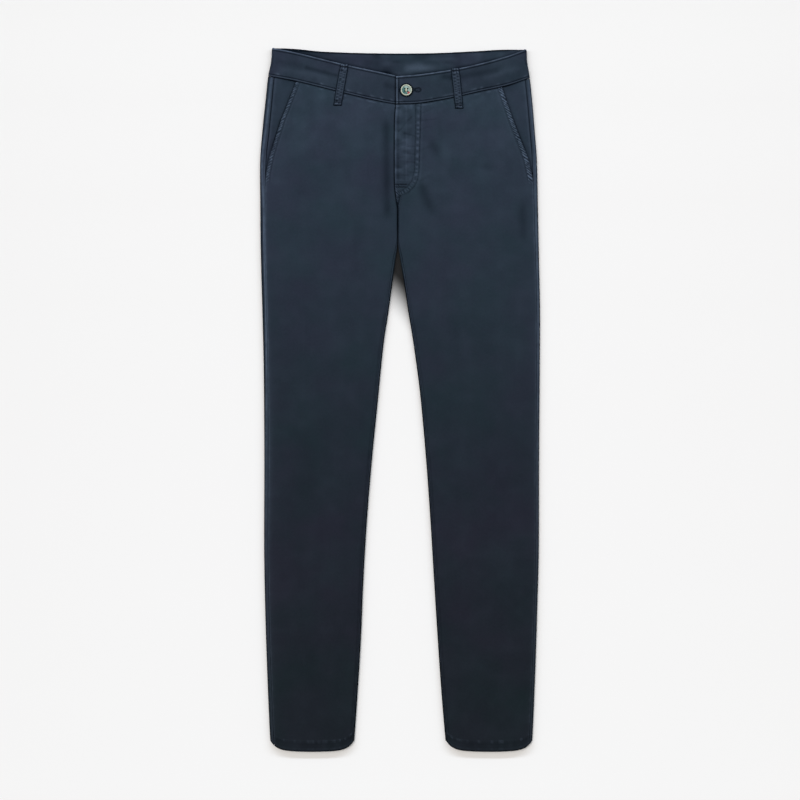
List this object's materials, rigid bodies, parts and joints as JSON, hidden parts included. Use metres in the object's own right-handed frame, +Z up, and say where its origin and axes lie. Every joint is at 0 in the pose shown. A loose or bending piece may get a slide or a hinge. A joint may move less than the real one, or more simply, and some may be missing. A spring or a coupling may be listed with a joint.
{
  "type": "chino trousers",
  "caption": "Slim chino trousers in dark blue-grey twill, laid flat with the front up: shaped waistband with one button, plain fly, slanted pockets, belt loops and tapered legs.",
  "frame": {"origin": "under the middle of the garment, on the surface that it lies on", "axes": "+X towards the wearer's left leg, +Y towards the waist, +Z up out of the front"},
  "size_m": [0.4201, 1.0549, 0.0141],
  "materials": {
    "cloth": "matte cotton twill, dark blue-grey",
    "band": "matte cotton twill, dark blue-grey, doubled",
    "button": "soft gloss, pale green and cream"
  },
  "bodies": {
    "root": {"front_right": "cloth", "front_left": "cloth", "back_right": "cloth", "back_left": "cloth", "pocket_facing_right": "cloth", "pocket_facing_left": "cloth", "fly_shield": "cloth", "waistband_right": "band", "waistband_left": "band", "belt_loop_front_right": "band", "belt_loop_front_left": "band", "belt_loop_back_right": "band", "belt_loop_back_centre": "band", "belt_loop_back_left": "band", "button": "button"}
  },
  "joints": []
}
